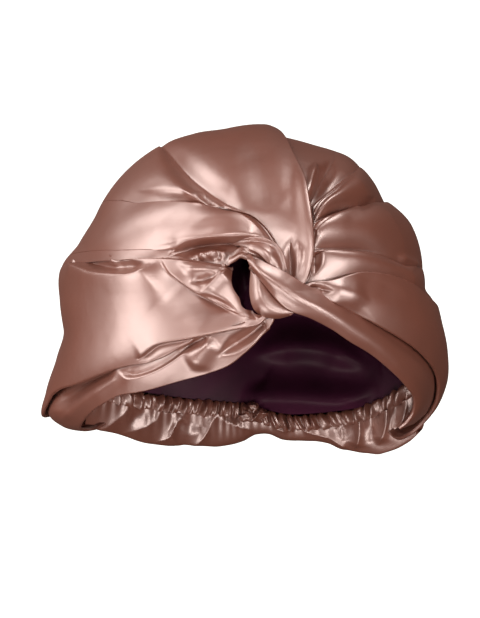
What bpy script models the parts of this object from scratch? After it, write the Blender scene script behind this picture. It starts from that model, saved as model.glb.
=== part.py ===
import bpy
import numpy as np

MM = 0.001

# Overall sizes of the wrap as worn, in millimetres.
half_width = 113.5
front_depth = 116.0
back_depth = 112.0

# Cloth and gaps. The satin panels are doubled cloth, so their walls are thicker.
panel_wall = 1.6
lining_wall = 1.2
gap = 0.45
layer = panel_wall + gap

# Where the twist sits on the front.
twist_x = 13.0
twist_z = 66.0

# Layers in from the base form: the bag where it tucks under the panels, and the lining.
bag_in = -3.25
lining_in = -5.3

# The seam between the front panels and the back bag, in degrees out from the twist.
seam_out = 104.0

# Nape casing with the elastic in it: its ends and depth from the origin, and its gathers.
casing_height = 8.5
casing_wall = 2.0
casing_swell = 2.0
casing_left = -80.0
casing_right = 92.0
casing_back = 64.0
casing_curve = 40.0
casing_sag = 10.0
casing_gathers = 26
gather_depth = 0.9

# The bag's full puff under the casing, and the depth of the folds in it.
puff_drop = 13.0
puff_fold = 1.3

# The small gathered tuft in the casing's middle.
tuft_radius = 7.0
tuft_place = 0.49
tuft_wall = 1.4
tuft_crumple = 1.5

rose = (0.62, 0.42, 0.36)
aubergine = (0.10, 0.035, 0.06)

# Outline from the front: turn about the twist in degrees, reach as a share of the half width.
OUTLINE = (
    (-62, 0.97), (-46, 0.98), (-36, 0.985), (-27, 0.96), (-18, 0.895), (-10, 0.845), (-3, 0.82),
    (2, 0.77), (12, 0.775), (25, 0.768), (38, 0.738), (47, 0.752), (60, 0.782), (73, 0.768),
    (84, 0.78), (91, 0.812), (104, 0.82), (115, 0.862), (127, 0.908), (140, 0.908), (155, 0.912),
    (165, 0.955), (174, 1.035), (182, 1.01), (190, 0.998), (197, 1.07), (204, 1.185),
    (209, 1.262), (213, 1.215), (221, 1.07), (235, 0.99))

# Edges and pleats of the panels. Columns: degrees out from the twist, turn about the twist, and
# in layers of cloth over the base form the level that arrives at the edge and the one that leaves.
SEAM_LEFT = (
    (6, 178, -1.5, -0.5), (10, 160, -2, -1), (14, 151, -2, -1.2), (18, 155, -2, -1),
    (23, 158, -1.5, -0.5), (37, 164.5, -0.5, 0), (50, 168.5, 0, 0), (79, 172, 0, 0),
    (110, 174, 0, 0))
WING_LEFT_LOW = (
    (6, 244, -0.25, 0), (9, 236, 0, 0), (18, 213, 0, 0), (27, 206.5, 0, 0), (41, 206, 0, 0),
    (50, 205.5, 0, 0), (67, 206.5, 0.5, 0), (85, 211, 0, 0), (110, 213, 0, 0))
RIM_TOP = (
    (6, 236, -1.4, -1.5), (10, 226, -1.6, -1.6), (18, 206, -1.7, -1.7), (27, 201.5, -2.1, -2.1),
    (41, 202, -2.4, -2.4), (67, 204, -3.1, -3.1), (85, 209, -2.7, -2.7), (110, 211, -2.7, -2.7))
OPENING_LEFT = (
    (6, 268, -1.3, -1.5), (11, 250, -1.5, -1.5), (17, 242, -1.5, -1.5), (22, 238, -1.5, -1.5),
    (27, 231, -1.5, -1.5), (33, 223, -1.5, -1.5), (39, 218, -1.5, -1.5), (45, 214.5, -1.5, -1.5),
    (57, 214.5, -1.5, -1.5), (73, 218, -1.5, -1.5), (90, 220, -1.5, -1.5), (110, 222, -2, -2))
CREASE_A = (
    (15, 80, 0, 0.5), (17, 86, 0, 0.5), (21, 94, 0, 0.5), (25, 103.5, 0, 0.3), (30, 116, 0, 0),
    (36, 121.5, 0, 0), (42, 124, 0, 0), (50, 126, 0, 0), (63, 126.5, 0, 0), (110, 127, 0, 0))
PLEAT_B = (
    (15, 82, 0.5, 0.6), (17, 88, 0.5, 0.8), (21, 97, 0.4, 1), (25, 106, 0, 1.1),
    (28, 118, -0.5, 1.25), (32, 125, -0.6, 1.1), (38, 133, -0.5, 1), (46, 140.5, 0, 0.75),
    (57, 147, 0.3, 0.4), (80, 151, 0, 0), (110, 152, 0, 0))
HOLLOW_TOP = (
    (15, 87, 0.5, -2.5), (18, 96, 0.5, -2.5), (20, 107, 0.5, -2.5), (22, 124, 0.7, -2.5),
    (24, 142, 1, -2.5), (27, 149, 1, -2.5), (31, 156.5, 0.75, -1.5), (37, 160.5, 0.4, 0),
    (50, 165, 0.25, 0.25), (80, 169, 0, 0), (110, 171, 0, 0))
HOLLOW_FOOT = (
    (14, 146, -2.5, 0), (18, 152, -2.5, 0), (22, 156, -2.25, 0), (27, 160, -1.5, 0),
    (37, 164.5, -0.5, 0), (50, 168.5, 0, 0), (79, 172, 0, 0), (110, 174, 0, 0))
CROSS_LEFT = (
    (9, 62, -0.9, -0.9), (12, 70, -1.2, -1.2), (15, 80, -1.5, -1.5), (18, 88, -1.5, -1.5),
    (21, 97, -1.5, -1.5), (24, 104, -1.5, -1.5), (30, 120, -1.5, -1.5), (36, 125, -1.5, -1.5),
    (42, 127.5, -1.5, -1.5), (63, 129, -1.3, -1.3), (90, 128.4, -1.1, -1.1),
    (110, 127.6, -1.05, -1.05))
CROSS_RIGHT = (
    (9, 12, -0.5, 0), (11, 17, -0.2, 0), (14, 30, 0.5, 0), (18, 40, 1.1, 0), (22, 52, 1.5, 0),
    (26, 60, 1.7, 0), (34, 69, 1.8, 0), (44, 75, 1.8, 0), (58, 82, 1.7, 0), (76, 86, 1.5, 0),
    (92, 89, 1.2, 0), (110, 90, 1.1, 0))
CROWN_TUCK = (
    (13, 24, 0, -1.3), (18, 44, 0, -0.8), (22, 58, 0, -0.5), (26, 67, 0, -0.3),
    (34, 74, 0, -0.2), (44, 80, 0, -0.2), (58, 86, 0, -0.3), (76, 89.5, 0, -0.4),
    (110, 93, 0, -0.5))
VALLEY = (
    (13, 22, -1.3, -1.3), (20, 50, -1, -1), (26, 63, -1.5, -1.5), (36, 65.5, -2.25, -2.25),
    (50, 65, -2, -2), (63, 64, -1.25, -1.25), (85, 64, 0, 0), (110, 64, 0, 0))
PLEAT_2 = (
    (13, 20, -1.3, -1.3), (22, 53, -1, -0.75), (28, 61, -1, 0.25), (34, 62, -1, 0.6),
    (45, 58, -0.75, 0.75), (62, 55, 0, 0.5), (85, 54, 0, 0), (110, 54, 0, 0))
PLEAT_3 = (
    (13, 18, -1.3, -1.3), (20, 43, -0.8, -0.5), (27, 56, -0.8, 0.6), (34, 53, -0.75, 0.8),
    (51, 44, -0.75, 0.9), (69, 38.5, -1, 0.8), (90, 37, -0.5, 0.25), (110, 37, 0, 0))
PLEAT_4 = (
    (13, 15, -1.3, -1.3), (21, 39, -0.8, -0.3), (29, 31, -0.75, 0.2), (39, 22, -0.7, 0.3),
    (48, 15.5, -0.5, 0.5), (57, 11, -0.25, 0.5), (80, 9, 0, 0), (110, 8, 0, 0))
CROWN_FOOT = (
    (13, 10, -1.45, 0), (19, 5, -1.1, 0), (30, 6, -1, 0), (45, 3, -0.95, 0), (58, -1.5, -0.9, 0),
    (74, -7, -0.85, 0), (110, -10, -0.85, 0))
WING_RIGHT_TOP = (
    (15, 11, 0, 0.6), (19, 10, 0, 0.9), (30, 11.5, 0, 1.2), (45, 7.5, 0, 1.3), (58, 2.5, 0, 1.3),
    (74, -3.5, 0, 1.2), (90, -6, 0, 1), (110, -7, 0, 1))
WING_RIGHT_LOW = (
    (15, 4, 0.6, 0), (17, -6, 0.9, 0), (24, -12.5, 1.2, 0), (32, -16, 1.2, 0), (44, -19, 1.3, 0),
    (51, -20.5, 1.3, 0), (62, -23.5, 1.2, 0), (69, -26, 1.1, 0), (78, -32, 1, 0),
    (90, -38, 0.7, 0), (110, -42, 0.3, 0))
STRAP_TOP = (
    (30, -7, -1.9, -1.9), (44, -12, -2, -2), (58, -16, -2.2, -2.2), (68, -20, -2.5, -2.5),
    (80, -28, -3, -3), (100, -36, -3, -3))
STRAP_LOW = (
    (30, -32, 0.3, 0.3), (44, -33.5, 0, 0), (52, -35, -0.5, -0.5), (58, -36.5, -1, -1),
    (68, -40, -2, -2), (80, -44, -2.5, -2.5), (100, -47, -3, -3))
LINING_LEFT = (
    (6, 268), (11, 249), (17, 241), (22, 237), (27, 230), (33, 222), (39, 217), (45, 213),
    (57, 211), (73, 208), (110, 203))
LINING_RIGHT = (
    (6, -76), (10, -45), (14, -35), (30, -31), (52, -33), (68, -34), (80, -32), (110, -24))

# Knot pieces and the start of the strap, drawn on the front view. Columns: x and z from the
# twist as shares of the half width and the level in layers, for the upper then the lower edge.
STRAP = (
    (-0.115, 0.141, 1.7, -0.119, 0.128, 1.7), (-0.062, 0.145, 2.3, -0.088, 0.084, 2.3),
    (-0.009, 0.119, 2.6, -0.053, 0.031, 2.6), (0.066, 0.081, 2.6, -0.009, -0.019, 2.6),
    (0.137, 0.042, 1.7, 0.062, -0.083, 2.3), (0.194, 0.005, -0.7, 0.132, -0.115, 1.5),
    (0.291, -0.044, -1.8, 0.229, -0.163, 0.7))
LOOP = (
    (-0.167, 0.225, -0.2, -0.185, 0.194, -0.6), (-0.115, 0.238, 0.6, -0.11, 0.185, 0.1),
    (-0.062, 0.236, 1.1, -0.057, 0.159, 0.4), (-0.013, 0.215, 1.2, -0.026, 0.137, 0.5),
    (0.026, 0.181, 1.2, 0, 0.119, 0.55), (0.053, 0.137, 1.1, 0.026, 0.097, 0.55),
    (0.067, 0.088, 0.6, 0.035, 0.075, 0.4))
PETAL = (
    (-0.097, 0.106, 0.9, -0.107, 0.079, 0.4), (-0.07, 0.057, 1.1, -0.104, 0, 0.7),
    (-0.041, 0.013, 1.1, -0.083, -0.074, 0.9), (-0.005, -0.031, 1.1, -0.039, -0.118, 0.8),
    (0.035, -0.07, 0.9, 0.026, -0.129, 0.3), (0.079, -0.106, 0.3, 0.079, -0.127, -0.2))

# Lower edge of the back bag's roll. Columns: place along the casing from left to right, how far
# the bag hangs under its even roll as a share of the full puff.
PUFFS = (
    (0, 0.31), (0.05, 0.69), (0.12, 0.77), (0.2, 1), (0.24, 1), (0.29, 0.69), (0.37, 0.62),
    (0.42, 0.46), (0.46, 0.15), (0.5, -0.46), (0.54, -0.85), (0.58, -0.73), (0.62, -0.77),
    (0.67, -0.69), (0.71, -0.5), (0.75, -0.08), (0.79, 0.31), (0.83, 0.5), (0.87, 0.77),
    (0.91, 0.69), (0.95, 0.69), (1, 0.46))


def smooth(table, at, column=1):
    """Value of a table's column at a place in its first column, joined by smooth cubics."""
    rows = np.array(table, float)
    x, y = rows[:, 0], rows[:, column]
    at = np.clip(np.asarray(at, float), x[0], x[-1])
    chord = np.diff(y) / np.diff(x)
    slope = np.empty(len(x))
    slope[0], slope[-1] = chord[0], chord[-1]
    both = chord[1:] * chord[:-1] > 0
    mean = 2 * chord[1:] * chord[:-1] / np.where(both, chord[1:] + chord[:-1], 1.0)
    slope[1:-1] = np.where(both, mean, 0.0)
    i = np.clip(np.searchsorted(x, at, side="right") - 1, 0, len(x) - 2)
    width = x[i + 1] - x[i]
    t = (at - x[i]) / width
    return ((2 * t**3 - 3 * t**2 + 1) * y[i] + (t**3 - 2 * t**2 + t) * width * slope[i]
            + (3 * t**2 - 2 * t**3) * y[i + 1] + (t**3 - t**2) * width * slope[i + 1])


def dome(turn, out, level):
    """Point of the base form, raised along its own direction by a level in layers."""
    turn, out, level = np.broadcast_arrays(turn, out, level)
    level = level * layer
    a, o = np.radians(turn), np.radians(out)
    across, along = np.sin(o), np.cos(o)
    radius = smooth(OUTLINE, turn) * half_width * across + level * across
    depth = np.where(along < 0, back_depth, front_depth) + level
    x, z = twist_x + radius * np.cos(a), twist_z + radius * np.sin(a)
    return np.stack([x, -depth * along, z], -1)


def over_dome(x, z, level):
    """Point of the base form behind a place in the front view given in shares, raised."""
    x, z, level = x * half_width, z * half_width, level * layer
    turn = np.degrees(np.arctan2(z, x))
    turn = np.where(turn < -90, turn + 360, turn)
    turn = np.where((turn > 235) & (turn < 260), 235, turn)
    reach = smooth(OUTLINE, np.maximum(turn, -62)) * half_width
    depth = front_depth * np.sqrt(1 - np.clip(np.hypot(x, z) / reach, 0, 0.99) ** 2)
    return np.stack([twist_x + x, -depth - level, twist_z + z], -1)


def solid(name, points, wall, colour, collection, closed=False):
    """One closed piece: a grid of points in millimetres, thickened behind its faces."""
    rows, cols = points.shape[:2]
    index = np.arange(rows * cols).reshape(rows, cols)
    if closed:
        index = np.concatenate([index, index[:, :1]], 1)
    faces = np.stack([index[:-1, :-1], index[1:, :-1], index[1:, 1:], index[:-1, 1:]], -1)
    mesh = bpy.data.meshes.new(name)
    mesh.from_pydata((points.reshape(-1, 3) * MM).tolist(), [], faces.reshape(-1, 4).tolist())
    piece = bpy.data.objects.new(name, mesh)
    collection.objects.link(piece)
    thick = piece.modifiers.new("wall", "SOLIDIFY")
    thick.thickness = wall * MM
    thick.offset = -1.0
    paint = bpy.data.materials.new(name + "_satin")
    paint.use_nodes = True
    shader = paint.node_tree.nodes["Principled BSDF"]
    shader.inputs["Base Color"].default_value = (*colour, 1.0)
    shader.inputs["Roughness"].default_value = 0.35
    shader.inputs["Metallic"].default_value = 0.0
    mesh.materials.append(paint)
    return piece


def pleated(shares, edges, counts, bulges, first, trim=0.0, last=None):
    """Grid of a panel from its edges in turn: cloth leaves each one and arrives at the next.

    Between two edges it bulges by the given height; at a pleat it steps to its other level.
    First is a table of where the panel starts, in degrees out, by the share across it. The trim
    holds the end edges back, in millimetres, from the pieces beside them. Bulges and levels
    are in layers, and a pleat's step is as wide as part of the wall."""
    turns, levels, all_outs = [], [], []
    for k, (count, bulge) in enumerate(zip(counts, bulges)):
        t = np.linspace(0, 1, count + 1)[:, None]
        begin = smooth(first, (k + t) / len(counts))
        outs = begin + ((last or seam_out) - begin) * shares
        start, end = smooth(edges[k], outs), smooth(edges[k + 1], outs)
        room = np.degrees(1 / (smooth(OUTLINE, (start + end) / 2) * half_width
                               * np.sin(np.radians(outs)))) * np.sign(end - start)
        start = start + (0.4 * panel_wall if k else trim) * room
        end = end - (0.4 * panel_wall if k < len(counts) - 1 else trim) * room
        turns.append(start + (end - start) * t)
        rise = np.clip((outs - 12) / 24, 0, 1)
        leave, arrive = smooth(edges[k], outs, 3), smooth(edges[k + 1], outs, 2)
        levels.append(leave + (arrive - leave) * t + bulge * rise * np.sin(np.pi * t))
        all_outs.append(outs)
    return dome(np.concatenate(turns), np.concatenate(all_outs), np.concatenate(levels))


def ribbon(table, count, across, arch):
    """Grid of a strap on the front view: rows along its table, arched between its two edges."""
    rows = np.array(table, float)
    place = np.linspace(0, len(rows) - 1, count)
    keyed = np.column_stack([np.arange(len(rows)), rows])
    x0, z0, l0, x1, z1, l1 = (smooth(keyed, place, c)[:, None] for c in range(1, 7))
    t = np.linspace(0, 1, across)
    level = l0 + (l1 - l0) * t + arch * np.sin(np.pi * t)
    return over_dome(x0 + (x1 - x0) * t, z0 + (z1 - z0) * t, level)


def casing_line(place):
    """Middle line of the nape casing, from its left end to its right end."""
    half = 0.5 * (casing_right - casing_left)
    x = casing_left + 2 * half * place
    y = casing_back - casing_curve * np.abs((x - casing_left) / half - 1) ** 2.4
    sag = smooth(((0, 1), (0.15, 0.5), (0.45, -0.1), (0.62, -0.8), (0.8, -0.6), (0.9, 0.2),
                  (1, 1.2)), place) * casing_sag
    return np.stack([x, y, sag], -1)


def casing_edge(place, side):
    """Line just past the casing's upper or lower edge, with more room at its steep ends."""
    line = casing_line(place)
    line[:, 2] += side * (casing_height / 2 + gap * (1.8 + 3 * np.abs(2 * place - 1) ** 4))
    return line


def roll(shares, start, toward, leave, arrive, end):
    """Grid that leaves a start line away from the line before it and rolls round to its end."""
    lean = start - toward
    lean = lean / np.linalg.norm(lean, axis=-1, keepdims=True) * leave[:, None]
    t = shares[:, None, None]
    return ((2 * t**3 - 3 * t**2 + 1) * start + (t**3 - 2 * t**2 + t) * lean
            + (3 * t**2 - 2 * t**3) * end + (t**3 - t**2) * arrive)


def main():
    for thing in list(bpy.data.objects):
        bpy.data.objects.remove(thing)
    wrap = bpy.data.collections.new("silk_hair_wrap")
    bpy.context.scene.collection.children.link(wrap)

    # Front panels, each from its own inner edge at the twist to the seam at the back.
    share = np.concatenate([np.linspace(0, 0.33, 8), np.linspace(0.4, 1, 7)])
    crown_left = pleated(share, (CREASE_A, PLEAT_B, HOLLOW_TOP, HOLLOW_FOOT), (3, 4, 3),
                         (0.75, 1.5, 0.1), ((0, 15), (1, 15)), gap + 0.1)
    solid("crown_left", crown_left, panel_wall, rose, wrap)

    wing_left = pleated(share, (SEAM_LEFT, WING_LEFT_LOW), (9,), (1.75,),
                        ((0, 13), (0.35, 7.4), (0.6, 6.7), (1, 6.7)), gap + 0.1)
    solid("wing_left", wing_left, panel_wall, rose, wrap)

    rim_left = pleated(share, (RIM_TOP, OPENING_LEFT), (5,), (0.25,), ((0, 8), (1, 7)), 0,
                       seam_out - 7)
    solid("rim_left", rim_left, panel_wall, rose, wrap)

    crossing = pleated(share, (CROSS_LEFT, CROSS_RIGHT), (6,), (1.5,), ((0, 10), (1, 10)))
    solid("crossing_panel", crossing, panel_wall, rose, wrap)

    crown_right = pleated(share, (CROWN_TUCK, VALLEY, PLEAT_2, PLEAT_3, PLEAT_4, CROWN_FOOT),
                          (2, 2, 3, 3, 3), (0.3, 0.25, 0.75, 0.75, 0.75), ((0, 14), (1, 14)))
    solid("crown_right", crown_right, panel_wall, rose, wrap)

    wing_right = pleated(share, (WING_RIGHT_TOP, WING_RIGHT_LOW), (6,), (1.25,),
                         ((0, 15.5), (1, 16.5)))
    solid("wing_right", wing_right, panel_wall, rose, wrap)

    # The strap starts over the twist and then follows the right edge of the opening.
    knot = ribbon(STRAP, 12, 6, 0.6)
    edge = pleated(np.linspace(0, 1, 11), (STRAP_TOP, STRAP_LOW), (5,), (0.3,),
                   ((0, 30), (1, 30)), 0, seam_out - 8)
    strap = np.concatenate([knot[:-1], edge.transpose(1, 0, 2)])
    solid("rim_strap", strap, panel_wall, rose, wrap)
    solid("twist_loop", ribbon(LOOP, 10, 4, 0.4), panel_wall, rose, wrap)
    solid("twist_petal", ribbon(PETAL, 8, 5, 0.5), panel_wall, rose, wrap)

    # The back bag rolls under and up to the lower edge of the casing. Behind the seam it rises
    # to the panels' level, with shallow gathers, and its puffs hang from the casing.
    places = np.linspace(0, 1, 47)
    top = np.sin(np.pi * places)
    turns = 219 - places * (219 + 45)
    tucked = dome(turns, seam_out - 3.0, bag_in)
    before = dome(turns, seam_out - 4.0, bag_in)
    along = np.array([0, 0.035, 0.075, 0.15, 0.24, 0.34, 0.45, 0.55, 0.64, 0.72, 0.79,
                      0.85, 0.9, 0.95, 1])
    leave = (0.54 + 3.7 * top) * back_depth
    arrive = np.array([0, -0.25, 1.0]) * (0.62 + 1.15 * top)[:, None] * half_width
    bag = roll(along, tucked, before, leave, arrive, casing_edge(places, -1))
    middle = np.array([0, 0.18 * back_depth, 0.48 * half_width])
    gather = np.exp(-((along - 0.2) / 0.13) ** 2)[:, None] * np.cos(2 * np.pi * 9 * places)
    clear = np.clip(along[:, None] * leave / (5.5 * layer) - 0.8, 0, 1)
    full = 1 + 0.045 * clear * np.sqrt(1 - along)[:, None] + 0.01 * gather
    bag = middle + (bag - middle) * full[..., None]
    hang = (np.clip((along - 0.45) / 0.4, 0, 1) * np.sin(np.pi * along) ** 0.5)[:, None]
    drop = hang * smooth(PUFFS, places) * puff_drop
    folds = hang * np.cos(2 * np.pi * 10 * places + 1.6 * np.sin(7 * places)) * puff_fold
    bag[..., 2] -= drop
    bag[..., 1] += 0.3 * drop + folds
    solid("back_bag", bag, panel_wall, rose, wrap)

    # The lining runs inside the front and back panels, down to the upper edge of the casing.
    side = np.linspace(0, 1, 29)
    outs = np.concatenate([np.linspace(7, 30, 4), np.linspace(44, 100, 5)])[:, None]
    left, right = smooth(LINING_LEFT, outs), smooth(LINING_RIGHT, outs)
    front = dome(left + (right - left) * side, outs, lining_in)
    swell = np.sin(np.pi * side)
    rear = roll(np.linspace(0, 1, 9), front[-1], front[-2], (0.27 + 2.15 * swell) * back_depth,
                np.array([0, 0.1, -1.0]) * (0.18 + 1.33 * swell)[:, None] * half_width,
                casing_edge(side, 1))
    solid("lining", np.concatenate([front, rear[1:]]), lining_wall, aubergine, wrap)

    # The casing is a ruched band round the nape; its gathers are even waves.
    fine = np.linspace(0, 1, 105)
    line = casing_line(fine)
    run = np.gradient(line, axis=0)
    inward = np.stack([run[:, 1], -run[:, 0], 0 * fine], -1)
    inward /= np.linalg.norm(inward, axis=-1, keepdims=True)
    high = np.linspace(-1, 1, 5)[:, None]
    ruche = np.cos(2 * np.pi * casing_gathers * fine + 0.8 * np.sin(9 * fine)) * gather_depth
    casing = line + inward * ((1 - high**2) * casing_swell + ruche * (1 - 0.6 * high**2))[..., None]
    casing[..., 2] += high * casing_height / 2
    solid("nape_casing", casing[::-1], casing_wall, rose, wrap)

    # The tuft is a small crumpled rosette on the inner face of the casing's middle.
    ring = np.linspace(0.12, 1, 5)[:, None]
    spin = np.linspace(0, 2 * np.pi, 24, endpoint=False)
    wide = tuft_radius * ring * (1 + 0.14 * np.cos(3 * spin + 1))
    seat = casing_line(np.array(tuft_place))
    crumple = tuft_crumple * (ring * np.cos(5 * spin + 2 * ring) - 1.6 * (1 - ring**2))
    front_face = seat[1] - casing_swell - gather_depth - tuft_crumple
    tuft = np.stack([seat[0] + wide * np.cos(spin), front_face + crumple,
                     seat[2] + 0.8 * wide * np.sin(spin)], -1)
    solid("casing_tuft", tuft, tuft_wall, rose, wrap, closed=True)


main()
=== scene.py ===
import math
import bpy
import numpy as np
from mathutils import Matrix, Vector


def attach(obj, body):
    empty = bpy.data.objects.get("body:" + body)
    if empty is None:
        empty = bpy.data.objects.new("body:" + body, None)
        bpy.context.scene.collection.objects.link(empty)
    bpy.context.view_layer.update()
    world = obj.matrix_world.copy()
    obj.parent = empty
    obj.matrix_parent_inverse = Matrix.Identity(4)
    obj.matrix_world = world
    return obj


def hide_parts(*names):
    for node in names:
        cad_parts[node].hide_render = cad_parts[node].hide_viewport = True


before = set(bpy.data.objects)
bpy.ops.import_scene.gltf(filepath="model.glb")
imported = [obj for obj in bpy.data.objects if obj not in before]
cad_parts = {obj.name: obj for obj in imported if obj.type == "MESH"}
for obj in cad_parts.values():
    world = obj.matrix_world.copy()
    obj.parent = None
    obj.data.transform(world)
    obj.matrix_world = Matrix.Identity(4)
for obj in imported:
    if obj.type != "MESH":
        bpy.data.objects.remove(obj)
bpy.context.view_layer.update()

# ---- Camera ----
# The wrap is seen level and straight on from 1.15 m, as it was photographed. The picture is
# 480 wide and 618 high, and one step of it is 0.565 mm at the middle of the head.
STEP, AWAY = 0.565, 1150.0
WIDE, HIGH = 480, 618
EYE = (-2.8, 57.1)
lens = bpy.data.cameras.new("camera")
lens.sensor_fit = "VERTICAL"
lens.sensor_height = 24.0
lens.lens = lens.sensor_height * AWAY / (HIGH * STEP)
camera = bpy.data.objects.new("camera", lens)
camera.location = (EYE[0] / 1000, -AWAY / 1000, EYE[1] / 1000)
camera.rotation_euler = (math.radians(90), 0, 0)
bpy.context.collection.objects.link(camera)
bpy.context.scene.camera = camera
bpy.context.scene.view_settings.view_transform = "Standard"


# ---- Studio ----
# A pale round floor that sweeps up into a pale wall on every side, seven soft boxes and a weak
# even light. The big key box and the one above it stand on the left, where the photo's sheen
# comes from. The sweep is only a ground to look at; it throws no light on the satin. A box has
# its place, its width and height in metres, and its power in watts.
def linear(code):
    """sRGB hex colour to linear light with full alpha.

    c / 12.92 for small values, or ((c + 0.055) / 1.055) ** 2.4 for the others."""
    c = np.array([int(code[i:i + 2], 16) for i in (1, 3, 5)]) / 255
    c = np.where(c < 0.04045, c / 12.92, ((c + 0.055) / 1.055) ** 2.4)
    return (*c.tolist(), 1.0)


def add(tree, kind, settings=None, links=None, inputs=None):
    """One node with its settings, its input values and its links, given as {input: socket}."""
    node = tree.nodes.new(kind)
    for name, value in (settings or {}).items():
        setattr(node, name, value)
    for name, value in (inputs or {}).items():
        node.inputs[name].default_value = value
    for name, socket in (links or {}).items():
        tree.links.new(socket, node.inputs[name])
    return node


def grid_mesh(name, points, closed=False):
    """Quads over a grid of points in millimetres, with a UV map in lengths along the cloth."""
    rows, cols = points.shape[:2]
    index = np.arange(rows * cols).reshape(rows, cols)
    if closed:
        index = np.concatenate([index, index[:, :1]], 1)
    faces = np.stack([index[:-1, :-1], index[1:, :-1], index[1:, 1:], index[:-1, 1:]], -1)
    corners = faces.reshape(-1)
    mesh = bpy.data.meshes.new(name)
    mesh.vertices.add(rows * cols)
    mesh.vertices.foreach_set("co", (points / 1000).reshape(-1))
    mesh.loops.add(len(corners))
    mesh.loops.foreach_set("vertex_index", corners)
    mesh.polygons.add(len(corners) // 4)
    mesh.polygons.foreach_set("loop_start", np.arange(0, len(corners), 4))
    mesh.polygons.foreach_set("use_smooth", np.ones(len(corners) // 4, bool))
    mesh.update(calc_edges=True)
    down = np.linalg.norm(np.diff(points, axis=0), axis=-1).mean(1)
    over = np.linalg.norm(np.diff(points, axis=1), axis=-1).mean(0)
    u = np.concatenate([[0], np.cumsum(down)]) / 1000
    v = np.concatenate([[0], np.cumsum(over), [np.sum(over)]]) / 1000
    size = index.shape[1]
    place = np.stack(np.broadcast_arrays(u[:, None], v[None, :size]), -1)
    quad = np.stack([place[:-1, :-1], place[1:, :-1], place[1:, 1:], place[:-1, 1:]], -2)
    mesh.uv_layers.new(name="cloth").data.foreach_set("uv", quad.reshape(-1))
    piece = bpy.data.objects.new(name, mesh)
    bpy.context.collection.objects.link(piece)
    return piece


sweep_turn = np.linspace(0, 2 * np.pi, 96, endpoint=False)
sweep_run = np.linspace(0, 1, 40)[:, None]
sweep_bend = np.clip((sweep_run - 0.45) / 0.25, 0, 1) * np.pi / 2
floor_level, floor_reach, bend_radius, wall_height = -330, 1500, 700, 2200
sweep_out = 20 + floor_reach * np.minimum(sweep_run / 0.45, 1) + bend_radius * np.sin(sweep_bend)
sweep_up = (floor_level + bend_radius * (1 - np.cos(sweep_bend))
            + wall_height * np.clip((sweep_run - 0.7) / 0.3, 0, 1))
sweep = grid_mesh("floor_sweep", np.stack(np.broadcast_arrays(
    sweep_out * np.cos(sweep_turn), sweep_out * np.sin(sweep_turn), sweep_up), -1)[:, ::-1], True)
for light_kind in ("diffuse", "glossy", "transmission", "volume_scatter", "shadow"):
    setattr(sweep, "visible_" + light_kind, False)
paper = bpy.data.materials.new("white studio paper")
paper.use_nodes = True
paper_shader = paper.node_tree.nodes["Principled BSDF"]
paper_shader.inputs["Base Color"].default_value = linear("#F6F6F2")
paper_shader.inputs["Roughness"].default_value = 0.9
paper_shader.inputs["Emission Color"].default_value = linear("#FFFFFB")
paper_shader.inputs["Emission Strength"].default_value = 0.93
sweep.data.materials.append(paper)

for name, place, size, power in (
        ("key_box", (-1.26, -0.62, 0.20), (0.9, 0.9), 16.0),
        ("hair_box", (-0.98, -0.06, 1.06), (0.9, 0.9), 13.0),
        ("front_box", (-0.28, -1.28, 0.46), (0.5, 0.5), 9.0),
        ("right_box", (0.80, -0.98, 0.02), (0.4, 0.5), 8.0),
        ("roof_box", (0.50, -0.30, 1.32), (0.6, 0.5), 11.0),
        ("low_left_box", (-0.50, -0.68, -0.92), (0.7, 0.4), 7.0),
        ("low_right_box", (0.28, -1.12, -0.45), (0.4, 0.4), 6.0)):
    box = bpy.data.lights.new(name, "AREA")
    box.shape, box.size, box.size_y, box.energy = "RECTANGLE", *size, power
    lamp = bpy.data.objects.new(name, box)
    lamp.location = place
    aim = Vector((0, 0, 0.06)) - lamp.location
    lamp.rotation_euler = aim.to_track_quat("-Z", "Y").to_euler()
    bpy.context.collection.objects.link(lamp)
world = bpy.data.worlds.new("studio air")
world.use_nodes = True
world.node_tree.nodes["Background"].inputs["Color"].default_value = linear("#F0E0D8")
world.node_tree.nodes["Background"].inputs["Strength"].default_value = 0.03
bpy.context.scene.world = world


# ---- Left wing ----
# The big smooth panel over the viewer's left side, silk charmeuse cut on the bias. It is
# gathered into the twist, seamed to the crown along its top, and its lower edge is folded
# under and left free over the rim.
half_width, front_depth, back_depth = 113.5, 116.0, 112.0
twist_x, twist_z = 13.0, 66.0
seam_out, seam_gap = 104.0, 0.55
layer = 2.05
inside = np.array([0, 0, 50.0])

OUTLINE = (
    (-62, 0.99), (-46, 1.005), (-36, 0.995), (-27, 0.96), (-18, 0.895), (-10, 0.845), (-3, 0.82),
    (2, 0.77), (12, 0.775), (25, 0.768), (38, 0.738), (47, 0.752), (60, 0.782), (73, 0.768),
    (84, 0.78), (91, 0.812), (104, 0.82), (115, 0.862), (127, 0.908), (140, 0.908), (155, 0.912),
    (165, 0.955), (174, 1.035), (182, 1.01), (190, 0.998), (197, 1.07), (204, 1.195),
    (209, 1.28), (213, 1.245), (221, 1.09), (235, 0.99))


def ease(share):
    """The share from 0 to 1, cut to that range, with a level start and a level end."""
    share = np.clip(share, 0, 1)
    return share * share * (3 - 2 * share)


def unit(ways):
    """The same directions with a length of one."""
    return ways / np.linalg.norm(ways, axis=-1, keepdims=True)


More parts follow.
